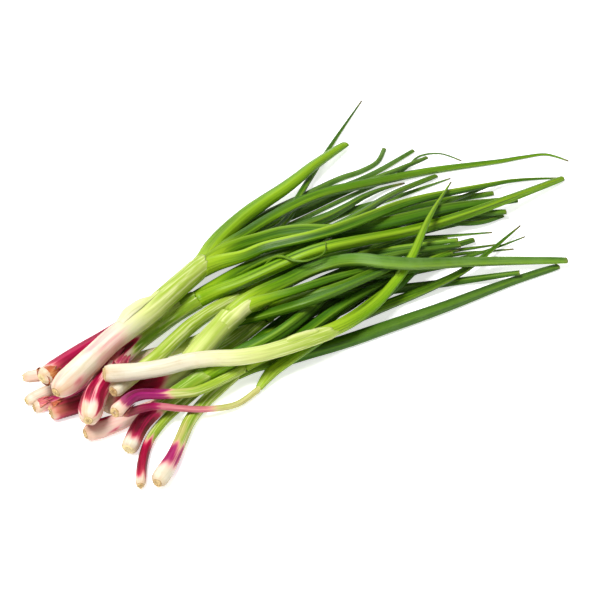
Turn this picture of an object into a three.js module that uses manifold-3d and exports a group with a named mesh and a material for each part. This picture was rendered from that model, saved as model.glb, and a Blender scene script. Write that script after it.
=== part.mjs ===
// A bunch of purple-shanked spring onions lying loose on a table, roots to the left and leaves fanned
// out to the right. Each onion is two bodies: the pale or purple shank with its trimmed root plate,
// and the green leaves that grow out of the shank's top as one piece.
// Lengths are millimetres, +Z is up and +X runs along the bunch from the roots to the leaf tips.
import * as THREE from "three";
import { mergeVertices } from "three/addons/utils/BufferGeometryUtils.js";
import Module from "manifold-3d";

// Where the eye is that sees the bunch as the photograph does.
const EYE = new THREE.Vector3(-384, -548, 617);

// Clear space between one onion and the next, and between a shank and its own leaves.
const CLEARANCE = 0.5;
const SKIN_GAP = 0.3;

// Spacing of the cross-sections along a shank or leaf.
const SECTION_STEP = 16;
const SHANK_SIDES = 10;
const LEAF_SIDES = 8;

// A leaf is a little flatter than it is wide.
const LEAF_FLATNESS = 0.82;

// Leaves of one onion lie together for the first stretch above the fork, then part.
const PARTING_START = 20;
const PARTING_LENGTH = 50;

// A leaf settles to its own width over this length, keeps it, then narrows to its end.
const LEAF_SWELL_LENGTH = 45;
const TAPER_START = 0.35;
const END_SHARE = { cut: 0.5, point: 0.14 };
const THINNEST_RADIUS = 0.5;

// The root end: how far the cut root plate stands out, as shares of the bulb's radius.
const ROOT_SHOULDER = [
  { out: 0.3, radius: 0.93 },
  { out: 0.5, radius: 0.74 },
];
const ROOT_OUT = 0.58;

// How the onions are laid down: each starts a layer above the one before and sinks until it rests.
const LAYER_HEIGHT = 15;
const FREE_FALL = 1;
const PRESSED_FALL = 0.22;
const FALL_STEPS = 260;
const REST_STEPS = 500;
const STIFFNESS = 0.75;
const HOLD = 0.24;

// The onions from the bottom of the pile to the top. The swelling at the roots, the bulb, dies away to
// the neck over the swell's length. A leaf's lift is how many layers above its own onion it is laid
// down. Each place is where the middle of the strand crosses the table as the eye sees it, [x, y] in
// millimetres, from the roots to the leaf tips.
const ONIONS = [
  {
    name: "onion_04",
    bulb: 5.6,
    neck: 4,
    swell: 26,
    shank: [
      [-150, -9], [-141, -11], [-129, -12], [-113, -13], [-96, -15], [-72, -12],
    ],
    leaves: [
      {
        width: 7,
        tip: "point",
        lift: 0,
        route: [
          [-33, -5], [31, 1], [101, 0], [146, -15],
        ],
      },
      {
        width: 7,
        tip: "cut",
        lift: 0,
        route: [
          [-38, -7], [12, -4], [58, -4], [95, -7],
        ],
      },
    ],
  },
  {
    name: "onion_01",
    bulb: 5.4,
    neck: 3.6,
    swell: 14,
    shank: [
      [-136, -63], [-127, -57], [-116, -48], [-102, -35], [-84, -24], [-60, -15],
    ],
    leaves: [
      {
        width: 9,
        tip: "cut",
        lift: 0,
        route: [
          [-16, -23], [15, -31], [68, -41], [127, -47], [161, -53],
        ],
      },
      {
        width: 6,
        tip: "point",
        lift: 0,
        route: [
          [-37, -13], [2, -8], [45, 0], [89, -5], [149, -26],
        ],
      },
    ],
  },
  {
    name: "onion_02",
    bulb: 3,
    neck: 2.7,
    swell: 20,
    shank: [
      [-147, -57], [-141, -48], [-134, -39], [-122, -29], [-105, -22], [-85, -17],
    ],
    leaves: [
      {
        width: 6,
        tip: "point",
        lift: 0,
        route: [
          [-44, -11], [15, -10], [89, -5], [162, -21],
        ],
      },
      {
        width: 6,
        tip: "cut",
        lift: 0,
        route: [
          [-41, -7], [14, -1], [60, -1], [105, -5],
        ],
      },
    ],
  },
  {
    name: "onion_03",
    bulb: 4.9,
    neck: 4.8,
    swell: 20,
    shank: [
      [-135, -32], [-128, -27], [-117, -21], [-104, -19], [-81, -15],
    ],
    leaves: [
      {
        width: 8,
        tip: "cut",
        lift: 0,
        route: [
          [-41, -7], [25, 3], [80, 4], [133, -4],
        ],
      },
      {
        width: 8,
        tip: "point",
        lift: 0,
        route: [
          [-49, -8], [-6, -8], [34, -5], [75, -2],
        ],
      },
    ],
  },
  {
    name: "onion_05",
    bulb: 3.6,
    neck: 3.7,
    swell: 20,
    shank: [
      [-166, 17], [-155, 16], [-137, 20], [-118, 24], [-100, 27], [-81, 23],
      [-62, 20],
    ],
    leaves: [
      {
        width: 7,
        tip: "cut",
        lift: 0,
        route: [
          [-22, 22], [36, 18], [83, 8], [123, -3],
        ],
      },
      {
        width: 7,
        tip: "point",
        lift: 0,
        route: [
          [-30, 21], [10, 14], [62, 9], [105, 5],
        ],
      },
    ],
  },
  {
    name: "onion_06",
    bulb: 3.5,
    neck: 4.1,
    swell: 24,
    shank: [
      [-166, 30], [-155, 31], [-137, 32], [-116, 35], [-93, 39], [-62, 47],
    ],
    leaves: [
      {
        width: 6,
        tip: "point",
        lift: 0,
        route: [
          [-16, 54], [42, 49], [95, 24], [149, -4],
        ],
      },
      {
        width: 7,
        tip: "cut",
        lift: 0,
        route: [
          [-21, 52], [30, 43], [82, 27], [124, 14],
        ],
      },
    ],
  },
  {
    name: "onion_07",
    bulb: 3.5,
    neck: 4,
    swell: 24,
    shank: [
      [-159, 49], [-150, 45], [-132, 40], [-107, 43], [-79, 51], [-48, 61],
    ],
    leaves: [
      {
        width: 6,
        tip: "cut",
        lift: 0,
        route: [
          [6, 87], [77, 98], [106, 99], [129, 97], [147, 108],
        ],
      },
      {
        width: 6,
        tip: "cut",
        lift: 0,
        route: [
          [6, 81], [69, 87], [120, 89], [162, 96],
        ],
      },
      {
        width: 4,
        tip: "point",
        lift: 0,
        route: [
          [6, 75], [80, 79], [140, 81], [162, 88], [172, 86], [182, 67],
        ],
      },
    ],
  },
  {
    name: "onion_08",
    bulb: 5.6,
    neck: 4.8,
    swell: 34,
    shank: [
      [-150, 44], [-138, 46], [-124, 48], [-107, 50], [-89, 52], [-65, 59],
      [-37, 69],
    ],
    leaves: [
      {
        width: 5,
        tip: "point",
        lift: 0,
        route: [
          [11, 83], [44, 83], [71, 101], [118, 132], [169, 164],
        ],
      },
      {
        width: 6,
        tip: "cut",
        lift: 0,
        route: [
          [12, 85], [77, 87], [123, 82], [164, 81],
        ],
      },
      {
        width: 9,
        tip: "point",
        lift: 0,
        route: [
          [15, 77], [69, 70], [112, 73], [134, 69],
        ],
      },
      {
        width: 7,
        tip: "point",
        lift: 0,
        route: [
          [8, 71], [39, 66], [83, 67], [120, 61], [163, 56],
        ],
      },
    ],
  },
  {
    name: "onion_09",
    bulb: 4.3,
    neck: 4.4,
    swell: 24,
    shank: [
      [-122, 9], [-107, 14], [-91, 19], [-71, 28], [-47, 37], [-24, 39],
    ],
    leaves: [
      {
        width: 7,
        tip: "cut",
        lift: -3,
        route: [
          [-3, 34], [46, 32], [104, 24], [169, 8],
        ],
      },
      {
        width: 7,
        tip: "point",
        lift: -3,
        route: [
          [-3, 39], [43, 39], [90, 38], [146, 35], [188, 31],
        ],
      },
      {
        width: 8,
        tip: "cut",
        lift: -3,
        route: [
          [3, 39], [46, 44], [98, 49], [135, 42], [177, 29],
        ],
      },
    ],
  },
  {
    name: "onion_10",
    bulb: 5.3,
    neck: 5.1,
    swell: 30,
    shank: [
      [-156, 15], [-147, 12], [-134, 13], [-122, 15], [-107, 9], [-92, 4],
      [-73, 4], [-53, 5], [-21, 10],
    ],
    leaves: [
      {
        width: 7,
        tip: "cut",
        lift: 0,
        route: [
          [2, 13], [30, 10], [54, -2], [95, -27], [137, -46],
        ],
      },
      {
        width: 7,
        tip: "point",
        lift: 0,
        route: [
          [7, 11], [46, 11], [87, 3], [119, -7],
        ],
      },
      {
        width: 6,
        tip: "cut",
        lift: 0,
        route: [
          [5, 17], [40, 14], [68, 5], [95, -7],
        ],
      },
    ],
  },
  {
    name: "onion_11",
    bulb: 6,
    neck: 6.8,
    swell: 30,
    shank: [
      [-131, 9], [-115, 7], [-101, 2], [-80, 3], [-59, 12], [-35, 22],
    ],
    leaves: [
      {
        width: 9.5,
        tip: "cut",
        lift: 10,
        route: [
          [-10, 27], [17, 32], [41, 32], [60, 23], [81, 5], [118, -19],
          [169, -53],
        ],
      },
      {
        width: 6,
        tip: "point",
        lift: 0,
        route: [
          [-10, 24], [14, 20], [41, 15], [72, 4], [99, -12],
        ],
      },
      {
        width: 7,
        tip: "cut",
        lift: 0,
        route: [
          [-8, 30], [26, 37], [62, 33], [91, 18], [124, -1],
        ],
      },
    ],
  },
  {
    name: "onion_12",
    bulb: 7.2,
    neck: 6,
    swell: 30,
    shank: [
      [-141, -3], [-134, 8], [-124, 18], [-109, 32], [-96, 39], [-71, 46],
      [-46, 49],
    ],
    leaves: [
      {
        width: 9,
        tip: "cut",
        lift: 5,
        route: [
          [-14, 46], [3, 46], [31, 45], [65, 38], [123, 27], [187, 16],
          [224, 11],
        ],
      },
      {
        width: 8,
        tip: "cut",
        lift: 0,
        route: [
          [-13, 52], [25, 47], [64, 46], [105, 36], [170, 7],
        ],
      },
      {
        width: 7,
        tip: "cut",
        lift: 0,
        route: [
          [-9, 59], [32, 56], [79, 56], [120, 63], [157, 64],
        ],
      },
      {
        width: 7,
        tip: "cut",
        lift: 0,
        route: [
          [-11, 49], [34, 49], [78, 44], [119, 33], [143, 11], [166, 7],
        ],
      },
    ],
  },
  {
    name: "onion_14",
    bulb: 2.5,
    neck: 1.8,
    swell: 20,
    shank: [
      [-126, -6], [-119, -7], [-112, -10], [-100, -21], [-88, -31], [-76, -37],
      [-65, -39], [-56, -36],
    ],
    leaves: [
      {
        width: 8,
        tip: "point",
        lift: 0,
        route: [
          [-42, -29], [-26, -26], [-2, -24], [32, -22], [83, -23], [116, -22],
          [167, -11],
        ],
      },
    ],
  },
  {
    name: "onion_13",
    bulb: 4,
    neck: 2.8,
    swell: 17,
    shank: [
      [-130, -3], [-123, 2], [-115, 3], [-106, 0], [-94, -9], [-76, -12],
      [-53, -12],
    ],
    leaves: [
      {
        width: 7,
        tip: "point",
        lift: 0,
        route: [
          [-29, -10], [4, -5], [33, -1], [57, 0], [98, -4],
        ],
      },
      {
        width: 7,
        tip: "cut",
        lift: 0,
        route: [
          [-31, -12], [-6, -14], [22, -6], [50, -4],
        ],
      },
    ],
  },
  {
    name: "onion_15",
    bulb: 7.5,
    neck: 6.8,
    swell: 30,
    shank: [
      [-147, 29], [-127, 38], [-102, 50], [-76, 58], [-51, 67], [-29, 74],
    ],
    leaves: [
      {
        width: 11,
        tip: "cut",
        lift: 0,
        route: [
          [-4, 89], [31, 102], [70, 111], [100, 120], [127, 126],
        ],
      },
      {
        width: 8,
        tip: "point",
        lift: 0,
        route: [
          [-5, 80], [20, 86], [46, 91], [73, 93], [102, 89], [147, 75],
          [199, 53], [237, 37], [242, 25],
        ],
      },
      {
        width: 10,
        tip: "cut",
        lift: -5,
        route: [
          [-7, 74], [16, 77], [44, 71], [71, 55], [107, 39], [140, 28],
          [182, 8],
        ],
      },
      {
        width: 8,
        tip: "point",
        lift: 0,
        route: [
          [-7, 69], [18, 68], [50, 61], [87, 55], [124, 50], [167, 39],
          [197, 29], [222, 15],
        ],
      },
    ],
  },
  {
    name: "onion_16",
    bulb: 5,
    neck: 4.7,
    swell: 24,
    shank: [
      [-120, 24], [-98, 13], [-69, 5], [-43, -9], [-22, -15], [-4, -18],
    ],
    leaves: [
      {
        width: 7,
        tip: "point",
        lift: 3,
        route: [
          [15, -21], [34, -17], [57, -8], [83, 6], [123, 31], [161, 51],
        ],
      },
      {
        width: 8,
        tip: "cut",
        lift: 0,
        route: [
          [16, -14], [36, -10], [59, -3], [87, 3], [115, -2],
        ],
      },
    ],
  },
];

const UP = new THREE.Vector3(0, 0, 1);

function easeStep(value) {
  const t = Math.min(1, Math.max(0, value));
  return t * t * (3 - 2 * t);
}

// Points at even distances along a smooth curve through the places, from a share of it to its end.
function evenPoints(places, startShare) {
  const corners = places.map((place) => new THREE.Vector3(place[0], place[1], 0));
  const curve = new THREE.CatmullRomCurve3(corners, false, "centripetal");
  const fine = [];
  const distance = [0];
  for (let i = 0; i <= 240; i += 1) {
    fine.push(curve.getPoint(startShare + ((1 - startShare) * i) / 240));
  }
  for (let i = 1; i < fine.length; i += 1) {
    distance.push(distance[i - 1] + fine[i].distanceTo(fine[i - 1]));
  }
  const length = distance[distance.length - 1];
  const count = Math.max(2, Math.round(length / SECTION_STEP));
  const points = [];
  let k = 0;
  for (let i = 0; i <= count; i += 1) {
    const want = (length * i) / count;
    while (k < distance.length - 2 && distance[k + 1] < want) {
      k += 1;
    }
    const part = (want - distance[k]) / (distance[k + 1] - distance[k] || 1);
    points.push(fine[k].clone().lerp(fine[k + 1], part));
  }
  return { points, length };
}

function shankRadius(onion, along) {
  return onion.neck + (onion.bulb - onion.neck) * Math.exp(-((along / onion.swell) ** 2));
}

function leafRadius(onion, leaf, along, length) {
  const own = leaf.width / 2;
  const base = Math.max(own, 0.8 * onion.neck);
  const body = base + (own - base) * easeStep(along / LEAF_SWELL_LENGTH);
  const taper = Math.max(0, (along / length - TAPER_START) / (1 - TAPER_START));
  const radius = body * (1 - (1 - END_SHARE[leaf.tip]) * taper ** 1.5);
  return Math.max(THINNEST_RADIUS, radius);
}

// A section is one cross-section of a strand: where it is, how wide, and how low it can lie.
function makeSection(point, radius, lowest, height) {
  return {
    x: point.x,
    y: point.y,
    z: height,
    floorX: point.x,
    floorY: point.y,
    homeX: point.x,
    homeY: point.y,
    radius,
    lowest,
    pressed: false,
  };
}

function layOut() {
  const sections = [];
  const strands = [];
  ONIONS.forEach((onion, order) => {
    const start = 12 + order * LAYER_HEIGHT;
    const spine = evenPoints(onion.shank, 0);
    const shank = { onion: order, leaf: -1, length: spine.length, sections: [] };
    spine.points.forEach((point, i) => {
      const radius = shankRadius(onion, (spine.length * i) / (spine.points.length - 1));
      const section = makeSection(point, radius, radius * Math.cos(Math.PI / SHANK_SIDES), start);
      shank.sections.push(section);
      sections.push(section);
    });
    strands.push(shank);
    const fork = onion.shank[onion.shank.length - 1];
    const before = onion.shank[onion.shank.length - 2];
    onion.leaves.forEach((leaf, number) => {
      const places = [before, fork, ...leaf.route];
      const run = evenPoints(places, 1 / (places.length - 1));
      const strand = { onion: order, leaf: number, length: run.length, shank, sections: [] };
      strand.sections.push(shank.sections[shank.sections.length - 1]);
      for (let i = 1; i < run.points.length; i += 1) {
        const along = (run.length * i) / (run.points.length - 1);
        const radius = leafRadius(onion, leaf, along, run.length);
        const lowest = radius * LEAF_FLATNESS * Math.cos(Math.PI / LEAF_SIDES);
        const raised = (leaf.lift * LAYER_HEIGHT + 3 * number) * easeStep(along / 80);
        const section = makeSection(run.points[i], radius, lowest, start + raised);
        strand.sections.push(section);
        sections.push(section);
      }
      strands.push(strand);
    });
  });
  return { sections, strands };
}

// How much room two pieces of strand keep from each other: none within one strand, a growing share
// between leaves of one onion, all of it between different onions.
function keepShare(first, second) {
  if (first.strand === second.strand) {
    return 0;
  }
  if (first.strand.onion !== second.strand.onion) {
    return 1;
  }
  if (first.strand.leaf < 0 || second.strand.leaf < 0) {
    return 0;
  }
  return easeStep((Math.min(first.along, second.along) - PARTING_START) / PARTING_LENGTH);
}

function farApart(first, second, room, axis) {
  const p = first.a[axis];
  const q = first.b[axis];
  const r = second.a[axis];
  const s = second.b[axis];
  return Math.min(p, q) > Math.max(r, s) + room || Math.min(r, s) > Math.max(p, q) + room;
}

function nearPairs(links) {
  const pairs = [];
  for (let i = 0; i < links.length; i += 1) {
    for (let j = i + 1; j < links.length; j += 1) {
      const first = links[i];
      const second = links[j];
      const share = keepShare(first, second);
      if (share === 0) {
        continue;
      }
      const reach = Math.max(first.a.radius, first.b.radius) + Math.max(second.a.radius, second.b.radius);
      const far =
        farApart(first, second, reach + 8, "x") ||
        farApart(first, second, reach + 8, "y") ||
        farApart(first, second, reach + 16, "z");
      if (!far) {
        pairs.push({ first, second, share });
      }
    }
  }
  return pairs;
}

function clampShare(value) {
  return Math.min(1, Math.max(0, value));
}

function dot(p, q) {
  return p.x * q.x + p.y * q.y + p.z * q.z;
}

function between(p, q) {
  return { x: q.x - p.x, y: q.y - p.y, z: q.z - p.z };
}

// Moves two pieces of strand apart along the shortest line between them, until they keep their room.
// Returns how much room was lacking.
function pushApart(pair, strength) {
  const { a, b } = pair.first;
  const c = pair.second.a;
  const d = pair.second.b;
  const u = between(a, b);
  const v = between(c, d);
  const w = between(c, a);
  const uu = dot(u, u);
  const uv = dot(u, v);
  const vv = dot(v, v);
  const uw = dot(u, w);
  const vw = dot(v, w);
  const spread = uu * vv - uv * uv;
  let s = spread > 1e-9 ? clampShare((uv * vw - vv * uw) / spread) : 0.5;
  const t = clampShare((uv * s + vw) / vv);
  s = clampShare((uv * t - uw) / uu);
  const x = w.x + u.x * s - v.x * t;
  const y = w.y + u.y * s - v.y * t;
  const z = w.z + u.z * s - v.z * t;
  const distance = Math.sqrt(x * x + y * y + z * z) || 1e-6;
  const radii = a.radius + (b.radius - a.radius) * s + c.radius + (d.radius - c.radius) * t;
  const lack = pair.share * (radii + CLEARANCE) - distance;
  if (lack <= 0) {
    return 0;
  }
  const weights = [
    [a, 1 - s],
    [b, s],
    [c, t - 1],
    [d, -t],
  ];
  const total = weights.reduce((sum, [, weight]) => sum + weight * weight, 0);
  const scale = (strength * lack) / distance / total;
  weights.forEach(([section, weight]) => {
    section.x += x * scale * weight;
    section.y += y * scale * weight;
    section.z += z * scale * weight;
    section.pressed = true;
  });
  return lack;
}

// Evens out sharp bends in one measure along a chain of sections, as a springy stem does.
function evenOut(values, strength) {
  const last = values.length - 1;
  const curl = (i) => (i < 1 || i > last - 1 ? 0 : values[i - 1] - 2 * values[i] + values[i + 1]);
  for (let i = 0; i <= last; i += 1) {
    const change = curl(i - 1) - 2 * curl(i) + curl(i + 1);
    const share = (i >= 2 ? 1 : 0) + (i >= 1 && i <= last - 1 ? 4 : 0) + (i <= last - 2 ? 1 : 0);
    values[i] -= (strength * change) / (share || 1);
  }
  return values;
}

function springBack(chain, strength) {
  const heights = evenOut(chain.map((section) => section.z), strength);
  const shiftX = evenOut(chain.map((section) => section.x - section.homeX), strength);
  const shiftY = evenOut(chain.map((section) => section.y - section.homeY), strength);
  chain.forEach((section, i) => {
    section.z = heights[i];
    section.x = section.homeX + shiftX[i];
    section.y = section.homeY + shiftY[i];
  });
}

// A strand that lies higher in the pile stands nearer the eye than the place it seems to cross.
function findHome(section) {
  const nearer = (EYE.z - section.z) / EYE.z;
  section.homeX = EYE.x + (section.floorX - EYE.x) * nearer;
  section.homeY = EYE.y + (section.floorY - EYE.y) * nearer;
}

function stayOnTable(sections) {
  sections.forEach((section) => {
    section.z = Math.max(section.z, section.lowest);
  });
}

function settle({ sections, strands }) {
  const chains = strands
    .filter((strand) => strand.leaf >= 0)
    .map((strand) => [...strand.shank.sections.slice(0, -1), ...strand.sections]);
  const links = [];
  strands.forEach((strand) => {
    for (let i = 0; i + 1 < strand.sections.length; i += 1) {
      const along = (strand.length * (i + 0.5)) / (strand.sections.length - 1);
      links.push({ a: strand.sections[i], b: strand.sections[i + 1], strand, along });
    }
  });
  let pairs = [];
  for (let step = 0; step < FALL_STEPS + REST_STEPS; step += 1) {
    const rest = Math.max(0, (step - FALL_STEPS) / REST_STEPS);
    sections.forEach((section) => {
      findHome(section);
      section.z -= (section.pressed ? PRESSED_FALL : FREE_FALL) * (1 - rest);
      section.x += (section.homeX - section.x) * HOLD * (1 - rest);
      section.y += (section.homeY - section.y) * HOLD * (1 - rest);
      section.pressed = false;
    });
    chains.forEach((chain) => springBack(chain, STIFFNESS * (1 - 0.8 * rest)));
    if (step % 5 === 0) {
      pairs = nearPairs(links);
    }
    for (let round = 0; round < 4; round += 1) {
      pairs.forEach((pair) => pushApart(pair, 0.9));
      stayOnTable(sections);
    }
  }
  for (let step = 0; step < 600; step += 1) {
    if (step % 20 === 0) {
      pairs = nearPairs(links);
    }
    let worst = 0;
    pairs.forEach((pair) => {
      worst = Math.max(worst, pushApart(pair, 0.8));
    });
    stayOnTable(sections);
    if (worst < 0.02) {
      break;
    }
  }
}

// One ring of points around a place, level across, square to the way the strand runs.
function ringAround(center, along, radius, flatness, sides) {
  const side = new THREE.Vector3().crossVectors(along, UP).normalize();
  const top = new THREE.Vector3().crossVectors(side, along).normalize();
  const ring = [];
  for (let i = 0; i < sides; i += 1) {
    const angle = (2 * Math.PI * (i + 0.5)) / sides - Math.PI / 2;
    const point = center.clone();
    point.addScaledVector(side, radius * Math.cos(angle));
    point.addScaledVector(top, radius * flatness * Math.sin(angle));
    // What lies within a hair of the table lies flat on it.
    if (point.z < 0.35) {
      point.z = 0;
    }
    ring.push(point);
  }
  return ring;
}

// A closed skin through a row of rings, with a point at each end.
function skinOver(firstTip, rings, lastTip) {
  const sides = rings[0].length;
  const positions = [];
  const faces = [];
  rings.forEach((ring) => ring.forEach((point) => positions.push(point.x, point.y, point.z)));
  const first = rings.length * sides;
  const last = first + 1;
  positions.push(firstTip.x, firstTip.y, firstTip.z);
  positions.push(lastTip.x, lastTip.y, lastTip.z);
  for (let i = 0; i < sides; i += 1) {
    const j = (i + 1) % sides;
    faces.push(first, i, j);
    for (let r = 0; r + 1 < rings.length; r += 1) {
      const a = r * sides;
      const b = a + sides;
      faces.push(a + i, b + j, a + j);
      faces.push(a + i, b + i, b + j);
    }
    const end = (rings.length - 1) * sides;
    faces.push(end + i, last, end + j);
  }
  const geometry = new THREE.BufferGeometry();
  geometry.setAttribute("position", new THREE.Float32BufferAttribute(positions, 3));
  geometry.setIndex(faces);
  return geometry;
}

function placeOf(section) {
  return new THREE.Vector3(section.x, section.y, section.z);
}

function directionAt(points, i) {
  const from = points[Math.max(0, i - 1)];
  const to = points[Math.min(points.length - 1, i + 1)];
  return new THREE.Vector3().subVectors(to, from).normalize();
}

// The way a shank points where its leaves begin.
function forkDirection(shank) {
  const points = shank.sections.map(placeOf);
  const last = points.length - 1;
  return new THREE.Vector3().subVectors(points[last], points[last - 1]).normalize();
}

function shankGeometry(onion, shank) {
  const points = shank.sections.map(placeOf);
  const last = points.length - 1;
  const rootWay = directionAt(points, 0);
  const rings = [];
  [...ROOT_SHOULDER].reverse().forEach((step) => {
    const center = points[0].clone().addScaledVector(rootWay, -step.out * onion.bulb);
    rings.push(ringAround(center, rootWay, onion.bulb * step.radius, 1, SHANK_SIDES));
  });
  points.forEach((point, i) => {
    const way = i === last ? forkDirection(shank) : directionAt(points, i);
    rings.push(ringAround(point, way, shank.sections[i].radius, 1, SHANK_SIDES));
  });
  const rootTip = points[0].clone().addScaledVector(rootWay, -ROOT_OUT * onion.bulb);
  return skinOver(rootTip, rings, points[last]);
}

function leafGeometry(onion, strand, number) {
  const points = strand.sections.map(placeOf);
  const last = points.length - 1;
  const forkWay = forkDirection(strand.shank);
  // Each leaf of an onion starts a little further into the neck than the one before.
  const inset = SKIN_GAP + 0.6 * number;
  const start = points[0].clone().addScaledVector(forkWay, inset);
  const rings = [ringAround(start, forkWay, onion.neck * (0.96 - 0.05 * number), 1, LEAF_SIDES)];
  for (let i = 1; i <= last; i += 1) {
    const radius = strand.sections[i].radius;
    rings.push(ringAround(points[i], directionAt(points, i), radius, LEAF_FLATNESS, LEAF_SIDES));
  }
  const endWay = directionAt(points, last);
  const endTip = points[last].clone().addScaledVector(endWay, 0.5 * strand.sections[last].radius);
  return skinOver(start, rings, endTip);
}

const wasm = await Module();
wasm.setup();

function asSolid(geometry) {
  const vertProperties = new Float32Array(geometry.attributes.position.array);
  const triVerts = new Uint32Array(geometry.index.array);
  return new wasm.Manifold(new wasm.Mesh({ numProp: 3, vertProperties, triVerts }));
}

function asGeometry(solid) {
  const mesh = solid.getMesh();
  const positions = new Float32Array((mesh.vertProperties.length / mesh.numProp) * 3);
  for (let i = 0; i < positions.length / 3; i += 1) {
    positions.set(mesh.vertProperties.subarray(i * mesh.numProp, i * mesh.numProp + 3), i * 3);
  }
  const geometry = new THREE.BufferGeometry();
  geometry.setAttribute("position", new THREE.BufferAttribute(positions, 3));
  geometry.setIndex(new THREE.BufferAttribute(new Uint32Array(mesh.triVerts), 1));
  return geometry;
}

function joined(geometries) {
  const whole = geometries.map(asSolid).reduce((sum, solid) => sum.add(solid));
  return mergeVertices(asGeometry(whole), 1e-4);
}

function makeMesh(name, geometry, material) {
  geometry.computeVertexNormals();
  const mesh = new THREE.Mesh(geometry, material);
  mesh.name = name;
  return mesh;
}

const PALE_SHANK = new THREE.MeshStandardMaterial({ color: 0xf1ecd4, roughness: 0.45, metalness: 0 });
const PURPLE_SHANK = new THREE.MeshStandardMaterial({ color: 0x9c1f52, roughness: 0.4, metalness: 0 });
const GREEN_LEAF = new THREE.MeshStandardMaterial({ color: 0x6f9a2c, roughness: 0.45, metalness: 0 });

// The onions whose shank shows purple skin for most of its length.
const PURPLE_ONES = [
  "onion_02", "onion_03", "onion_05", "onion_08", "onion_10", "onion_12", "onion_13", "onion_14",
];

const model = layOut();
settle(model);

const bunch = new THREE.Group();
bunch.name = "spring_onion_bunch";
ONIONS.forEach((onion, order) => {
  const strands = model.strands.filter((strand) => strand.onion === order);
  const shank = strands.find((strand) => strand.leaf < 0);
  const leaves = strands.filter((strand) => strand.leaf >= 0);
  const skin = PURPLE_ONES.includes(onion.name) ? PURPLE_SHANK : PALE_SHANK;
  bunch.add(makeMesh(`${onion.name}_shank`, shankGeometry(onion, shank), skin));
  const leafSkins = leaves.map((strand, number) => leafGeometry(onion, strand, number));
  bunch.add(makeMesh(`${onion.name}_leaves`, joined(leafSkins), GREEN_LEAF));
});

// The row's origin is the middle of the bunch's footprint, on the table.
const box = new THREE.Box3().setFromObject(bunch);
const middle = box.getCenter(new THREE.Vector3());
bunch.children.forEach((mesh) => mesh.geometry.translate(-middle.x, -middle.y, -box.min.z));

export default bunch;
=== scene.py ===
"""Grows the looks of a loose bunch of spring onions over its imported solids.

Each onion is a shank with a trimmed root plate, thin sheaths that wrap it, and hollow leaves that part
where the shank ends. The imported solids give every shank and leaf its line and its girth.
Lengths are metres unless a name says otherwise.
"""

import math
import random
from typing import NamedTuple

import bmesh
import bpy
from bpy.props import FloatProperty, FloatVectorProperty, IntProperty, PointerProperty
from mathutils import Matrix, Vector, noise


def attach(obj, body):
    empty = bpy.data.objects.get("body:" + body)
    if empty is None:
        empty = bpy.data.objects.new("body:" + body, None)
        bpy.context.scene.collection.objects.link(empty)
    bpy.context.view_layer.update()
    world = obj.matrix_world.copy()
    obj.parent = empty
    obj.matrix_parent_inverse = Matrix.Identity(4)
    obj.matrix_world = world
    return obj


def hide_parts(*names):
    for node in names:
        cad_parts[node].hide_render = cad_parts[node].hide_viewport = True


bl_info = {
    "name": "Spring Onion Bunch",
    "version": (1, 0, 0),
    "blender": (4, 5, 0),
    "location": "3D View > Sidebar > Spring Onions",
    "description": "Blushed shanks, wrapped sheaths, root plates and veined leaves for a packed bunch",
    "category": "Object",
}

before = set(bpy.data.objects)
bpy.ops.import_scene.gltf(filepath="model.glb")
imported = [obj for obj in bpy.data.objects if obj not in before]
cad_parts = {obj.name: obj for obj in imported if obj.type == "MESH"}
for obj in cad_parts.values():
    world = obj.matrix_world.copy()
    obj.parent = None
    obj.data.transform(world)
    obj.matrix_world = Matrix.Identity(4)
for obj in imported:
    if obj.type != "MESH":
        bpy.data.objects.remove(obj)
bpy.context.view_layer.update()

MM = 0.001
UP = Vector((0, 0, 1))
# Corners round the solids of the shanks and of the leaves.
SHANK_SIDES = 10
LEAF_SIDES = 8
# Corners nearer than these are joined: in a solid, and in a new skin.
SOLID_WELD = 3e-6
SKIN_WELD = 1e-7
# Corners this near the fork belong to the neck, and no leaf has fewer rings than this.
NECK_REACH = 3 * MM
FEWEST_RINGS = 4
# About how far apart the sections on a leaf's first bend are.
BEND_STEP = 14 * MM
# How thick a scrap of old skin and a loose sheath are.
SCRAP_THICKNESS = 0.15 * MM
LOOSE_SHEATH_THICKNESS = 0.2 * MM
ONION_NAMES = sorted({name.rsplit("_", 1)[0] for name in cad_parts})
# What each corner of a shank's skin and of a leaf's skin says to its finish.
SHANK_VALUES = ["blush", "stripes", "violet", "green", "pale", "worn", "lip"]
LEAF_VALUES = ["fresh", "bloom", "ridge_highlight", "grown", "green", "wither", "inside"]
HOLLOW_ROOTS = ("onion_10", "onion_13")


class ShankLook(NamedTuple):
    """How a shank is coloured and trimmed. Lengths are millimetres from the roots."""

    # Stretches of magenta blush: (starts, ends, strength).
    blush: list
    # Where the shank turns green, and how green it gets.
    green: tuple
    # How far white stripes show through the blush.
    stripes: float
    # How bluish the blush is.
    violet: float
    # The white part, from pinkish 0 to cream 1.
    pale: float
    # How wide the root end is beside the bulb.
    root: float
    # How far the outer sheath reaches past the fork, in millimetres.
    sheath: float
    # Small spots of blush: (middle, middle turn, length, width in turns, strength).
    spots: tuple = ()
    # How uneven the ends of the blush are, in millimetres.
    ragged: float = 4
    # How freshly the roots are cut, from brown 0 to pale 1.
    cut: float = 0.15


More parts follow.
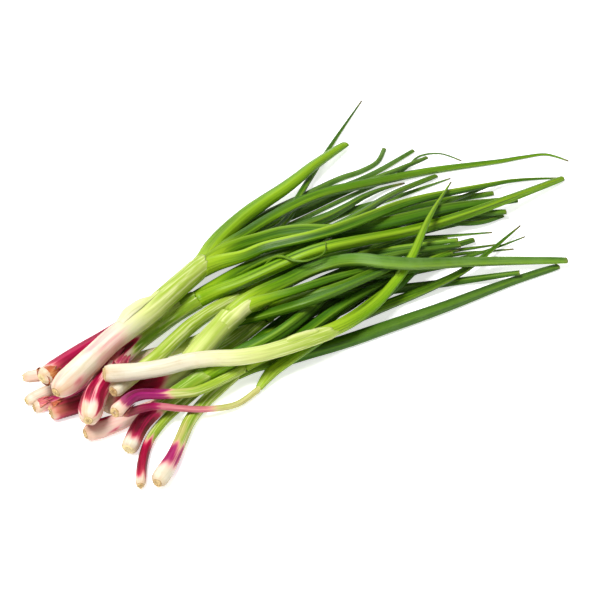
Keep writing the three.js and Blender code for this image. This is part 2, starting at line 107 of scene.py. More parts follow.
SHANK_LOOKS = {
    "onion_01": ShankLook([(10, 27, 0.8), (26, 44, 0.17)], (14, 32, 0.95), 0.6, 0.6, 0.7, 0.78, 4),
    "onion_02": ShankLook([(5, 30, 1.1)], (18, 34, 0.95), 0.15, 0.05, 0.4, 1.0, 3),
    "onion_03": ShankLook([(5, 26, 1.2)], (14, 26, 1.1), 0.3, 0.15, 0.8, 1.22, 5, cut=0.95),
    "onion_04": ShankLook(
        [(-8, 50, 0.24)], (50, 90, 0.8), 0.5, 0.2, 0.3, 0.85, 4,
        spots=((11, 0.32, 3, 0.07, 1.3), (17, 0.03, 3, 0.05, 1.0)),
    ),
    "onion_05": ShankLook([(4, 34, 0.8)], (60, 120, 0.9), 0.45, 0.4, 0.2, 1.05, 4),
    "onion_06": ShankLook([(30, 60, 0.2)], (60, 130, 0.9), 0.5, 0.2, 0.35, 1.05, 4, cut=0.7),
    "onion_07": ShankLook([(-4, 40, 0.14)], (70, 150, 0.8), 0.5, 0.1, 0.1, 1.0, 4, cut=0.8),
    "onion_08": ShankLook([(6, 74, 1.0)], (80, 120, 0.9), 0.35, 0.15, 0.4, 0.85, 5, cut=0.75),
    "onion_09": ShankLook([(2, 12, 0.1)], (-16, 50, 0.85), 0.4, 0.2, 0.9, 1.05, 6),
    "onion_10": ShankLook([(-1, 62, 1.15)], (60, 95, 0.95), 0.3, 0.1, 0.5, 1.18, 7),
    "onion_11": ShankLook([(6, 34, 1.2)], (-40, 110, 0.72), 0.15, 0.05, 0.95, 1.0, 5, cut=0.5),
    "onion_12": ShankLook(
        [(5, 50, 1.05), (36, 62, 1.3)], (60, 70, 1.05), 0.9, 0.1, 0.35, 0.58, 4, ragged=17, cut=0.45
    ),
    "onion_13": ShankLook([(5, 36, 1.05), (34, 52, 0.14)], (16, 38, 0.9), 0.4, 0.75, 0.05, 1.1, 4),
    "onion_14": ShankLook(
        [(-4, 20, 1.05), (12, 52, 0.5), (48, 96, 0.16)], (24, 64, 0.75), 0.15, 0.4, 0.5, 1.0, 2
    ),
    "onion_15": ShankLook(
        [(-6, 14, 0.26), (26, 54, 0.32)], (36, 112, 0.8), 0.7, 0.2, 0.55, 0.6, 6,
        spots=((13, 0.06, 5, 0.06, 0.5),),
    ),
    "onion_16": ShankLook([(-6, 0, 0.1)], (24, 140, 0.8), 0.4, 0.1, 0.9, 1.15, 8, cut=0.4),
}

# How each onion's leaves are coloured, from the leaf that ends furthest back to the nearest:
# (fresh, bloom, crease highlight), where fresh is yellow-green 1 to deep blue-green 0, bloom is how waxy it
# looks and the crease highlight is how strong the painted highlight along the crease is.
LEAF_LOOKS = {
    "onion_01": [(0.3, 0.3, 0.2), (0.22, 0.35, 0.15)],
    "onion_02": [(0.25, 0.35, 0.22), (0.3, 0.3, 0.22)],
    "onion_03": [(0.2, 0.2, 0.22), (0.3, 0.3, 0.22)],
    "onion_04": [(0.3, 0.4, 0.22), (0.25, 0.2, 0.22)],
    "onion_05": [(0.25, 0.3, 0.22), (0.3, 0.25, 0.22)],
    "onion_06": [(0.2, 0.2, 0.22), (0.35, 0.3, 0.22)],
    "onion_07": [(0.25, 0.75, 0.22), (0.35, 0.7, 0.22), (0.3, 0.7, 0.22)],
    "onion_08": [(0.45, 0.1, 0.22), (0.25, 0.55, 0.22), (0.2, 0.35, 0.22), (0.3, 0.6, 0.22)],
    "onion_09": [(0.2, 0.2, 0.2), (0.25, 0.2, 0.3), (0.15, 0.35, 0.2)],
    "onion_10": [(0.25, 0.2, 0.2), (0.35, 0.15, 0.3), (0.25, 0.25, 0.2)],
    "onion_11": [(0.5, 0.25, 0.22), (0.45, 0.2, 0.22), (0.55, 0.8, 0.4)],
    "onion_12": [(0.35, 0.2, 0.22), (0.8, 0.05, 0.7), (0.25, 0.2, 0.22), (0.3, 0.3, 0.22)],
    "onion_13": [(0.4, 0.15, 0.2), (0.3, 0.2, 0.2)],
    "onion_14": [(0.55, 0.1, 0.22)],
    "onion_15": [(1.0, 0.05, 0.5), (0.6, 0.12, 0.25), (0.35, 0.15, 0.9), (0.45, 0.15, 0.4)],
    "onion_16": [(0.9, 0.1, 0.7), (0.7, 0.1, 0.5)],
}

# Where the thin curled shoot runs over the heap, (x, y) from where it comes up to its tip.
SHOOT_PATH = [
    (-0.0392, -0.0100), (-0.0380, -0.0135), (-0.0350, -0.0190), (-0.0328, -0.0240), (-0.0306, -0.0300),
    (-0.0255, -0.0353), (-0.0204, -0.0373), (-0.0148, -0.0387), (-0.0109, -0.0370), (-0.0072, -0.0316),
]

# Loose pale sheaths that stand off their shanks: (onion, starts mm, length mm, middle turn, width in turns,
# how far it stands off in mm).
LOOSE_SHEATHS = [
    ("onion_15", 58, 36, 0.40, 0.34, 4.6),
    ("onion_12", 92, 20, 0.30, 0.30, 1.6),
    ("onion_11", 84, 24, 0.10, 0.26, 1.4),
    ("onion_16", 106, 22, 0.30, 0.26, 1.2),
]

# The rim of a cut leaf, and the way down its hollow: (how wide, how far out), as shares of its radius.
OPEN_END = [
    (0.97, 0.12), (0.90, 0.10), (0.84, -0.2), (0.8, -0.9), (0.74, -1.8), (0.68, -2.6), (0.6, -3.2),
    (0.3, -3.5), (0.0, -3.6),
]

# Loose scraps of old skin: (onion, starts mm, length mm, middle turn, width in turns, dryness).
SKIN_SCRAPS = [
    ("onion_08", 1, 13, 0.62, 0.42, 0.9),
    ("onion_08", 3, 9, 0.12, 0.3, 0.8),
    ("onion_12", 46, 18, 0.2, 0.5, 0.25),
    ("onion_12", 50, 14, 0.7, 0.4, 0.2),
    ("onion_10", 2, 9, 0.35, 0.3, 0.7),
    ("onion_13", 3, 16, 0.8, 0.34, 0.45),
    ("onion_03", 8, 12, 0.7, 0.3, 0.2),
    ("onion_05", 3, 9, 0.25, 0.35, 0.5),
]

# The studio lights: (name, place from what the camera looks at, size, power).
LIGHTS = [
    ("key", (-0.50, -0.10, 1.05), 0.40, 17.5),
    ("fill", (0.5, -0.9, 0.6), 0.9, 2),
    ("back", (0.3, 0.9, 0.7), 0.7, 4),
]
WORLD_LIGHT = 0.2
FLOOR_HALF_WIDTH = 8.0
FLOOR_DROP = 0.0004
# How bright the floor is to the things on it, and to the camera.
FLOOR_GLOW = (0.3, 0.6)
LENS = 90
SENSOR = 36


class ShankSettings(bpy.types.PropertyGroup):
    """The shanks and the sheaths round them."""

    sides: IntProperty(name="Sides", description="Corners round a shank", default=32, min=12, max=64)
    step: FloatProperty(
        name="Step", description="Distance between rings along a shank",
        default=0.0025, min=0.001, max=0.01, unit="LENGTH",
    )
    sheath: FloatProperty(
        name="Sheath thickness", description="How thick the outer sheath is at its edge",
        default=0.0003, min=0.0001, max=0.001, unit="LENGTH",
    )
    cream: FloatVectorProperty(
        name="Cream", description="Colour of the white part", subtype="COLOR",
        default=(0.70, 0.64, 0.48), size=3, min=0, max=1,
    )
    magenta: FloatVectorProperty(
        name="Magenta", description="Colour of the blushed skin", subtype="COLOR",
        default=(0.34, 0.001, 0.030), size=3, min=0, max=1,
    )


class LeafSettings(bpy.types.PropertyGroup):
    """The hollow leaves."""

    sides: IntProperty(name="Sides", description="Corners round a leaf", default=24, min=8, max=48)
    step: FloatProperty(
        name="Step", description="Distance between rings along a leaf",
        default=0.0032, min=0.001, max=0.01, unit="LENGTH",
    )
    ribbing: FloatProperty(
        name="Ribbing", description="How deep the ribs along a leaf are, as a share of its width",
        default=0.03, min=0, max=0.1, subtype="FACTOR",
    )
    fresh: FloatVectorProperty(
        name="Fresh green", description="Colour of the youngest leaves", subtype="COLOR",
        default=(0.170, 0.355, 0.003), size=3, min=0, max=1,
    )
    deep: FloatVectorProperty(
        name="Deep green", description="Colour of the oldest leaves", subtype="COLOR",
        default=(0.026, 0.084, 0.001), size=3, min=0, max=1,
    )


class StageSettings(bpy.types.PropertyGroup):
    """The floor, the lights and the camera."""

    azimuth: FloatProperty(
        name="Azimuth", description="Which side the camera looks from",
        default=math.radians(-35), subtype="ANGLE",
    )
    elevation: FloatProperty(
        name="Elevation", description="How far above the floor the camera looks from",
        default=math.radians(42), subtype="ANGLE",
    )
    distance: FloatProperty(
        name="Distance", description="From the camera to what it looks at",
        default=0.9, min=0.1, unit="LENGTH",
    )
    aim: FloatVectorProperty(
        name="Aim", description="The place in the middle of the picture",
        default=(-0.0364, -0.0466, 0.015), size=3, subtype="TRANSLATION", unit="LENGTH",
    )
    floor: FloatVectorProperty(
        name="Floor", description="Colour of the floor", subtype="COLOR",
        default=(0.88, 0.88, 0.87), size=3, min=0, max=1,
    )


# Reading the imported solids


def welded(node):
    """The node's skin with its loose corners joined, so that each corner leads to the next."""
    skin = bmesh.new()
    skin.from_mesh(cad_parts[node].data)
    bmesh.ops.remove_doubles(skin, verts=skin.verts, dist=SOLID_WELD)
    return skin


def neighbours(corner):
    return {edge.other_vert(corner) for edge in corner.link_edges}


def is_ring(corners, sides):
    return len(corners) == sides and all(len(neighbours(c) & corners) == 2 for c in corners)


def rings_from(pole, sides):
    """The rings of corners met one after another on the way from a strand's end."""
    ring = neighbours(pole)
    if not is_ring(ring, sides):
        return []
    rings = [ring]
    seen = {pole} | ring
    while True:
        ahead = set().union(*(neighbours(c) for c in ring)) - seen
        if not is_ring(ahead, sides):
            return rings
        rings.append(ahead)
        seen |= ahead
        ring = ahead


def across(direction):
    """The level side and the top of a strand that runs this way."""
    side = direction.cross(UP).normalized()
    return side, side.cross(direction).normalized()


def sections_of(rings):
    """(middle, half width, half height) of each ring."""
    middles = [sum((corner.co for corner in ring), Vector()) / len(ring) for ring in rings]
    sections = []
    for i, ring in enumerate(rings):
        ahead = middles[min(i + 1, len(middles) - 1)] - middles[max(i - 1, 0)]
        side, top = across(ahead.normalized())
        wide = sum((corner.co - middles[i]).dot(side) ** 2 for corner in ring)
        tall = sum((corner.co - middles[i]).dot(top) ** 2 for corner in ring)
        wide = math.sqrt(2 * wide / len(ring))
        tall = math.sqrt(2 * tall / len(ring))
        sections.append((middles[i], wide, tall))
    return sections


def read_shank(onion):
    """The shank's sections from the roots to the fork."""
    skin = welded(onion + "_shank")
    poles = [c for c in skin.verts if is_ring(neighbours(c), SHANK_SIDES)]
    root = min(poles, key=lambda corner: corner.co.x)
    sections = sections_of(rings_from(root, SHANK_SIDES))
    skin.free()
    return sections


def bridge(fork, way, neck, section, direction):
    """Sections from the fork to where a leaf stands clear of the others, on one smooth bend."""
    point, wide, tall = section
    reach = (point - fork).length
    count = max(2, round(reach / BEND_STEP))
    made = []
    for i in range(count):
        t = i / count
        place = (
            fork * (2 * t**3 - 3 * t**2 + 1)
            + way * (reach * (t**3 - 2 * t**2 + t))
            + point * (3 * t**2 - 2 * t**3)
            + direction * (reach * (t**3 - t**2))
        )
        made.append((place, neck + (wide - neck) * t, neck + (tall - neck) * t))
    return made


def read_leaves(onion, shank):
    """The sections of each leaf from the fork to its tip, the leaf that ends furthest back first."""
    fork, neck, _ = shank[-1]
    way = (shank[-1][0] - shank[-2][0]).normalized()
    skin = welded(onion + "_leaves")
    leaves = []
    for corner in skin.verts:
        if (corner.co - fork).length < NECK_REACH:
            continue
        rings = rings_from(corner, LEAF_SIDES)
        if len(rings) < FEWEST_RINGS:
            continue
        sections = sections_of(rings)[::-1]
        direction = (sections[1][0] - sections[0][0]).normalized()
        start = bridge(fork, way, neck * 0.93, sections[0], direction)
        leaves.append(start + sections)
    skin.free()
    leaves.sort(key=lambda sections: -sections[-1][0].y)
    return leaves


class Line:
    """A smooth line through a strand's sections."""

    def __init__(self, sections):
        self.sections = sections
        self.along = [0.0]
        for before, after in zip(sections, sections[1:]):
            self.along.append(self.along[-1] + (after[0] - before[0]).length)
        self.length = self.along[-1]

    def at(self, distance):
        """(middle, side, top, direction, half width, half height) at a distance from the start."""
        distance = min(max(distance, 0.0), self.length)
        k = 0
        while k < len(self.along) - 2 and self.along[k + 1] < distance:
            k += 1
        t = (distance - self.along[k]) / (self.along[k + 1] - self.along[k])
        last = len(self.sections) - 1
        a, b, c, d = (self.sections[min(max(k + i, 0), last)] for i in (-1, 0, 1, 2))
        point = 0.5 * (
            2 * b[0] + (c[0] - a[0]) * t
            + (2 * a[0] - 5 * b[0] + 4 * c[0] - d[0]) * t * t
            + (3 * b[0] - a[0] - 3 * c[0] + d[0]) * t**3
        )
        direction = (
            (c[0] - a[0])
            + 2 * (2 * a[0] - 5 * b[0] + 4 * c[0] - d[0]) * t
            + 3 * (3 * b[0] - a[0] - 3 * c[0] + d[0]) * t * t
        ).normalized()
        side, top = across(direction)
        wide = b[1] + (c[1] - b[1]) * t
        tall = b[2] + (c[2] - b[2]) * t
        return point, side, top, direction, wide, tall


def read_bunch():
    """Each onion's shank and leaves as smooth lines."""
    bunch = {}
    for onion in ONION_NAMES:
        sections = read_shank(onion)
        leaves = [Line(leaf) for leaf in read_leaves(onion, sections)]
        bunch[onion] = {"shank": Line(sections), "leaves": leaves}
    return bunch


BUNCH = read_bunch()


# Rolled grids


def ease(value):
    t = min(1.0, max(0.0, value))
    return t * t * (3 - 2 * t)


def bump_at(value, middle, width):
    return math.exp(-(((value - middle) / width) ** 2))


def turn_gap(turn, middle):
    """How far apart two places round a strand are, in turns."""
    return abs((turn - middle + 0.5) % 1.0 - 0.5)


def noise_at(x, y, z):
    return noise.noise(Vector((x, y, z)))


def noise_round(angle, size, shift):
    """Noise that joins up round a strand."""
    return noise_at(math.cos(angle) * size, math.sin(angle) * size, shift)


def outwards(side, top, wide, tall, angle):
    """From the middle of a strand to its skin."""
    return side * (wide * math.cos(angle)) + top * (tall * math.sin(angle))


def new_skin(values):
    """A bmesh with a map and the surface values that its finish reads."""
    skin = bmesh.new()
    skin.loops.layers.uv.new("UVMap")
    skin.verts.layers.float_vector.new("grain")
    for value in values:
        skin.verts.layers.float.new(value)
    return skin


def roll(skin, rows, columns, place):
    """Rolls a flat grid into a tube or sleeve. place gives each corner its point and its values."""
    made = bmesh.ops.create_grid(
        skin, x_segments=columns, y_segments=rows - 1, size=1.0, calc_uvs=True
    )["verts"]
    grain = skin.verts.layers.float_vector["grain"]
    for corner in made:
        column = round((corner.co.x + 1) / 2 * columns)
        row = round((corner.co.y + 1) / 2 * (rows - 1))
        point, at, values = place(row, column)
        point.z = max(point.z, 0.0)
        corner.co = point
        corner[grain] = at
        for name, value in values.items():
            corner[skin.verts.layers.float[name]] = value
    bmesh.ops.remove_doubles(skin, verts=made, dist=SKIN_WELD)


def grain_at(turn, along, seed):
    """Where a place on a strand is in its own pattern: round it, and along it in centimetres."""
    angle = 2 * math.pi * turn
    return (math.cos(angle) + seed * 7.3, math.sin(angle) - seed * 3.1, along * 100 + seed * 11.7)


def finish_piece(name, skin, material, replaces=(), thickness=0.0):
    """Makes the skin a piece of the scene. An open skin is given a thickness."""
    if not thickness:
        bmesh.ops.recalc_face_normals(skin, faces=skin.faces)
    for face in skin.faces:
        face.smooth = True
    mesh = bpy.data.meshes.new(name)
    skin.to_mesh(mesh)
    skin.free()
    mesh.materials.append(material)
    piece = bpy.data.objects.new(name, mesh)
    bpy.context.scene.collection.objects.link(piece)
    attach(piece, "root")
    if replaces:
        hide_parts(*replaces)
    if thickness:
        solid = piece.modifiers.new("skin", "SOLIDIFY")
        solid.thickness = thickness
        solid.offset = 1.0


# Finishes


def add_node(tree, kind, place, **settings):
    node = tree.nodes.new(kind)
    node.location = place
    for key, value in settings.items():
        if key in node.inputs:
            node.inputs[key].default_value = value
        else:
            setattr(node, key, value)
    return node


def new_group(name, inputs, outputs):
    """A node group with its ends. inputs are (name, kind, default) and outputs (name, kind)."""
    group = bpy.data.node_groups.new(name, "ShaderNodeTree")
    for label, kind, default in inputs:
        socket = group.interface.new_socket(label, in_out="INPUT", socket_type=kind)
        if default is not None:
            socket.default_value = default
    for label, kind in outputs:
        group.interface.new_socket(label, in_out="OUTPUT", socket_type=kind)
    return group, add_node(group, "NodeGroupInput", (-900, 0)), add_node(group, "NodeGroupOutput", (600, 0))


def long_streaks_group():
    """Soft streaks that run along a strand, coarse and fine."""
    group, start, end = new_group(
        "Long streaks",
        [
            ("Grain", "NodeSocketVector", None),
            ("Width", "NodeSocketFloat", 2.0),
            ("Run", "NodeSocketFloat", 0.25),
        ],
        [("Coarse", "NodeSocketFloat"), ("Fine", "NodeSocketFloat")],
    )
    link = group.links.new
    apart = add_node(group, "ShaderNodeSeparateXYZ", (-700, 0))
    link(start.outputs["Grain"], apart.inputs[0])
    slow = add_node(group, "ShaderNodeMath", (-520, -120), operation="MULTIPLY")
    link(apart.outputs["Z"], slow.inputs[0])
    link(start.outputs["Run"], slow.inputs[1])
    joined = add_node(group, "ShaderNodeCombineXYZ", (-340, 0))
    link(apart.outputs["X"], joined.inputs["X"])
    link(apart.outputs["Y"], joined.inputs["Y"])
    link(slow.outputs[0], joined.inputs["Z"])
    coarse = add_node(group, "ShaderNodeTexNoise", (-120, 120), Detail=3.0, Roughness=0.55)
    link(joined.outputs[0], coarse.inputs["Vector"])
    link(start.outputs["Width"], coarse.inputs["Scale"])
    finer = add_node(group, "ShaderNodeMath", (-340, -260), operation="MULTIPLY")
    finer.inputs[1].default_value = 2.6
    link(start.outputs["Width"], finer.inputs[0])
    fine = add_node(group, "ShaderNodeTexNoise", (-120, -160), Detail=2.0, Roughness=0.5)
    link(joined.outputs[0], fine.inputs["Vector"])
    link(finer.outputs[0], fine.inputs["Scale"])
    link(coarse.outputs["Fac"], end.inputs["Coarse"])
    link(fine.outputs["Fac"], end.inputs["Fine"])
    return group


def mottle_group():
    """Small soft blotches over a surface, with a few darker specks."""
    group, start, end = new_group(
        "Mottle",
        [("Size", "NodeSocketFloat", 120.0)],
        [("Blotch", "NodeSocketFloat"), ("Speck", "NodeSocketFloat")],
    )
    link = group.links.new
    place = add_node(group, "ShaderNodeTexCoord", (-700, 0))
    blotch = add_node(group, "ShaderNodeTexNoise", (-400, 120), Detail=4.0, Roughness=0.6)
    link(place.outputs["Object"], blotch.inputs["Vector"])
    link(start.outputs["Size"], blotch.inputs["Scale"])
    finer = add_node(group, "ShaderNodeMath", (-560, -200), operation="MULTIPLY")
    finer.inputs[1].default_value = 4.0
    link(start.outputs["Size"], finer.inputs[0])
    specks = add_node(group, "ShaderNodeTexVoronoi", (-400, -160))
    link(place.outputs["Object"], specks.inputs["Vector"])
    link(finer.outputs[0], specks.inputs["Scale"])
    small = add_node(group, "ShaderNodeMapRange", (-160, -160))
    small.inputs["From Min"].default_value = 0.16
    small.inputs["From Max"].default_value = 0.06
    link(specks.outputs["Distance"], small.inputs["Value"])
    link(blotch.outputs["Fac"], end.inputs["Blotch"])
    link(small.outputs[0], end.inputs["Speck"])
    return group


class Finish:
    """Builds one material step by step, colour over colour."""

    def __init__(self, name, roughness, **shader_values):
        self.material = bpy.data.materials.new(name)
        self.material.use_nodes = True
        self.tree = self.material.node_tree
        self.shader = self.tree.nodes["Principled BSDF"]
        self.shader.inputs["Roughness"].default_value = roughness
        for key, value in shader_values.items():
            self.shader.inputs[key].default_value = value
        self.column = -2200
        self.colour = None

    def node(self, kind, **settings):
        self.column += 60
        return add_node(self.tree, kind, (self.column, -300), **settings)

    def feed(self, value, socket):
        """Joins a socket to this one, or sets this one's own number or colour."""
        if isinstance(value, bpy.types.NodeSocket):
            self.tree.links.new(value, socket)
        elif isinstance(value, tuple):
            socket.default_value = (*value, 1)
        else:
            socket.default_value = value

    def group(self, group, **values):
        node = self.node("ShaderNodeGroup", node_tree=group)
        for key, value in values.items():
            self.feed(value, node.inputs[key])
        return node

    def value(self, name):
        return self.node("ShaderNodeAttribute", attribute_name=name).outputs["Fac"]

    def grain(self):
        return self.node("ShaderNodeAttribute", attribute_name="grain").outputs["Vector"]

    def maths(self, operation, *terms):
        node = self.node("ShaderNodeMath", operation=operation)
        for term, socket in zip(terms, node.inputs):
            self.feed(term, socket)
        return node.outputs[0]

    def ramp(self, source, low, high, to_low=0.0, to_high=1.0):
        node = self.node("ShaderNodeMapRange", interpolation_type="SMOOTHSTEP")
        for value, key in (
            (source, "Value"), (low, "From Min"), (high, "From Max"), (to_low, "To Min"), (to_high, "To Max")
        ):
            self.feed(value, node.inputs[key])
        return node.outputs[0]

    def start(self, colour):
        node = self.node("ShaderNodeRGB")
        node.outputs[0].default_value = (*colour, 1)
        self.colour = node.outputs[0]

    def over(self, colour, mask, blend="MIX"):
        node = self.node("ShaderNodeMix", data_type="RGBA", blend_type=blend, clamp_factor=True)
        self.feed(mask, node.inputs["Factor"])
        self.feed(self.colour, node.inputs[6])
        self.feed(colour, node.inputs[7])
        self.colour = node.outputs[2]

    def turn_green(self, streaks, tender, young, full):
        """Turns the colour green in streaks where the green value is high, and gives that mask."""
        uneven = self.maths("MULTIPLY_ADD", streaks, 0.9, 0.55)
        green = self.maths("MULTIPLY", self.value("green"), uneven)
        self.over(tender, self.ramp(green, 0.02, 0.5))
        self.over(young, self.ramp(green, 0.4, 0.85))
        self.over(full, self.ramp(green, 0.8, 1.25))
        return green

    def bump(self, height, distance, strength):
        node = self.node("ShaderNodeBump", Strength=strength, Distance=distance)
        self.feed(height, node.inputs["Height"])
        self.feed(node.outputs[0], self.shader.inputs["Normal"])

    def done(self, roughness=None):
        self.feed(self.colour, self.shader.inputs["Base Color"])
        if roughness is not None:
            self.feed(roughness, self.shader.inputs["Roughness"])
        return self.material


def shank_finish(settings, groups):
    """Cream skin that turns green towards the leaves, with magenta blush in long streaks."""
    skin = Finish("shank_skin", 0.36, **{
        "Subsurface Weight": 0.08, "Subsurface Scale": 0.0015, "Subsurface Radius": (1.0, 0.8, 0.4),
        "Specular IOR Level": 0.22,
    })
    streaks = skin.group(groups["streaks"], Grain=skin.grain(), Width=1.1, Run=0.22)
    narrow = skin.group(groups["streaks"], Grain=skin.grain(), Width=1.7, Run=0.08)
    mottle = skin.group(groups["mottle"], Size=160.0)
    coarse, fine = narrow.outputs["Coarse"], narrow.outputs["Fine"]
    skin.start((0.80, 0.56, 0.44))
    skin.over(tuple(settings.cream), skin.ramp(skin.value("pale"), 0.0, 0.8))
    skin.over((0.79, 0.77, 0.67), skin.ramp(streaks.outputs["Coarse"], 0.42, 0.7, 0.0, 0.75))
    skin.over((0.58, 0.44, 0.26), skin.ramp(mottle.outputs["Blotch"], 0.50, 0.72, 0.0, 0.28))
    green = skin.turn_green(coarse, (0.60, 0.65, 0.22), (0.33, 0.46, 0.035), (0.16, 0.31, 0.012))
    fibre = skin.maths("MULTIPLY", skin.ramp(green, 0.05, 0.4), skin.ramp(fine, 0.50, 0.34, 0.0, 0.6))
    skin.over((0.72, 0.74, 0.36), fibre)
    stripes = skin.maths("MULTIPLY", skin.value("stripes"), -0.9)
    unstriped = skin.maths("MULTIPLY_ADD", stripes, skin.ramp(coarse, 0.42, 0.62), 1.0)
    showing = skin.maths("MULTIPLY", skin.value("blush"), unstriped)
    patchy = skin.maths("MULTIPLY_ADD", streaks.outputs["Coarse"], 0.6, 0.7)
    uneven = skin.maths("MULTIPLY", showing, patchy)
    skin.over((0.80, 0.36, 0.36), skin.ramp(uneven, 0.0, 0.45, 0.0, 0.85))
    skin.over((0.52, 0.014, 0.075), skin.ramp(uneven, 0.2, 0.75))
    skin.over(tuple(settings.magenta), skin.ramp(uneven, 0.45, 1.0))
    violet = skin.maths("MULTIPLY", skin.value("violet"), skin.ramp(uneven, 0.25, 0.7))
    skin.over((0.27, 0.012, 0.14), violet)
    skin.over((0.10, 0.001, 0.010), skin.ramp(uneven, 0.85, 1.25, 0.0, 0.9))
    skin.over((0.60, 0.58, 0.36), skin.ramp(fine, 0.52, 0.66, 0.0, 0.27), "MULTIPLY")
    skin.over((0.40, 0.20, 0.08), skin.maths("MULTIPLY", mottle.outputs["Speck"], 0.2))
    skin.over((0.70, 0.74, 0.34), skin.maths("MULTIPLY", skin.value("lip"), 0.16))
    skin.over((0.50, 0.30, 0.12), skin.value("worn"))
    skin.bump(skin.maths("MULTIPLY_ADD", fine, 0.6, coarse), 0.0005, 0.6)
    return skin.done(skin.maths("MULTIPLY_ADD", streaks.outputs["Fine"], 0.25, 0.27))


def leaf_finish(settings, groups):
    """Green leaf skin: fine veins, a waxy bloom in patches, a tender base, withered tips, a painted
    highlight along the crease and painted shade down cut ends.
    """
    skin = Finish("leaf_skin", 0.36, **{"Specular IOR Level": 0.16})
    streaks = skin.group(groups["streaks"], Grain=skin.grain(), Width=0.9, Run=0.09)
    veins = skin.group(groups["streaks"], Grain=skin.grain(), Width=2.0, Run=0.04)
    mottle = skin.group(groups["mottle"], Size=90.0)
    coarse, fine = veins.outputs["Coarse"], veins.outputs["Fine"]
    patchy = skin.maths("MULTIPLY_ADD", streaks.outputs["Coarse"], 1.3, -0.65)
    fresh = skin.maths("ADD", skin.value("fresh"), patchy)
    skin.start(tuple(settings.deep))
    skin.over((0.046, 0.150, 0.001), skin.ramp(fresh, -0.05, 0.5))
    skin.over(tuple(settings.fresh), skin.ramp(fresh, 0.4, 1.0))
    skin.over((0.010, 0.045, 0.001), skin.ramp(coarse, 0.50, 0.32, 0.0, 0.75))
    skin.over((0.27, 0.45, 0.02), skin.ramp(coarse, 0.54, 0.70, 0.0, 0.5))
    grown = skin.colour
    skin.start((0.80, 0.78, 0.50))
    skin.turn_green(coarse, (0.60, 0.65, 0.20), (0.29, 0.44, 0.015), (0.14, 0.30, 0.002))
    uneven = skin.maths("MULTIPLY_ADD", streaks.outputs["Fine"], 0.7, -0.35)
    skin.over(grown, skin.ramp(skin.maths("ADD", skin.value("grown"), uneven), 0.1, 0.9))
    skin.over((0.02, 0.07, 0.002), skin.ramp(fine, 0.52, 0.64, 0.0, 0.45))
    # Painted highlight: a lighter yellow-green along the crease on the upper side of the leaf, strongest on
    # the brighter streaks.
    bright = skin.maths("MULTIPLY", skin.value("ridge_highlight"), skin.ramp(coarse, 0.3, 0.62, 0.3, 1.1))
    skin.over((0.32, 0.49, 0.02), bright)
    patches = skin.ramp(mottle.outputs["Blotch"], 0.3, 0.65, 0.4, 1.0)
    waxy = skin.maths("MULTIPLY", skin.value("bloom"), patches)
    skin.over((0.17, 0.30, 0.075), skin.maths("MULTIPLY", waxy, 0.7))
    skin.over((0.20, 0.21, 0.04), skin.ramp(skin.value("wither"), 0.0, 0.6, 0.0, 0.8))
    skin.over((0.13, 0.10, 0.045), skin.ramp(skin.value("wither"), 0.5, 1.0))
    # Painted shade: the way down the hollow of a cut leaf end is coloured near-black green.
    skin.over((0.04, 0.07, 0.01), skin.value("inside"))
    skin.over((0.05, 0.11, 0.01), skin.maths("MULTIPLY", mottle.outputs["Speck"], 0.2))
    skin.bump(skin.maths("MULTIPLY_ADD", fine, 0.6, coarse), 0.0006, 0.7)
    worn = skin.maths("MULTIPLY_ADD", fine, 0.25, 0.22)
    return skin.done(skin.maths("ADD", skin.maths("MULTIPLY", waxy, 0.2), worn))


def scrap_finish(groups):
    """Old papery skin, from damp pink to dry orange-brown."""
    skin = Finish("old_skin", 0.5)
    streaks = skin.group(groups["streaks"], Grain=skin.grain(), Width=2.4, Run=0.2)
    skin.start((0.46, 0.03, 0.10))
    skin.over((0.74, 0.24, 0.30), skin.ramp(streaks.outputs["Fine"], 0.46, 0.66, 0.0, 0.85))
    skin.over((0.40, 0.085, 0.02), skin.ramp(skin.value("dry"), 0.3, 0.8))
    dry_streaks = skin.ramp(streaks.outputs["Coarse"], 0.46, 0.62, 0.0, 0.8)
    skin.over((0.70, 0.38, 0.13), skin.maths("MULTIPLY", skin.value("dry"), dry_streaks))
    skin.over((0.30, 0.10, 0.03), skin.ramp(skin.value("lip"), 0.6, 1.0, 0.0, 0.7))
    skin.bump(streaks.outputs["Fine"], 0.0003, 0.8)
    return skin.done()


def root_finish(groups):
    """The cut root plate: tan and fibrous, browner in the middle."""
    skin = Finish("root_plate", 0.65)
    mottle = skin.group(groups["mottle"], Size=420.0)
    skin.start((0.64, 0.46, 0.21))
    skin.over((0.38, 0.19, 0.05), skin.ramp(mottle.outputs["Blotch"], 0.42, 0.62, 0.0, 0.85))
    skin.over((0.24, 0.10, 0.025), skin.ramp(skin.value("rim"), 0.3, 1.0, 0.0, 0.8))
    skin.over((0.11, 0.04, 0.010), skin.ramp(skin.value("heart"), 0.15, 0.8))
    skin.over((0.20, 0.09, 0.03), skin.maths("MULTIPLY", mottle.outputs["Speck"], 0.7))
    skin.over((0.78, 0.68, 0.36), skin.maths("MULTIPLY", skin.value("fresh"), 0.8))
    skin.bump(mottle.outputs["Blotch"], 0.0006, 0.8)
    return skin.done()


FINISHES = {}


def finish(name):
    """The named finish, made with its shared groups the first time one is asked for."""
    if not FINISHES:
        groups = {"streaks": long_streaks_group(), "mottle": mottle_group()}
        scene = bpy.context.scene
        FINISHES.update(
            shank=shank_finish(scene.onion_shanks, groups),
            leaf=leaf_finish(scene.onion_leaves, groups),
            scrap=scrap_finish(groups),
            root=root_finish(groups),
        )
    return FINISHES[name]


# Pieces


def seed_of(onion):
    return int(onion[-2:])


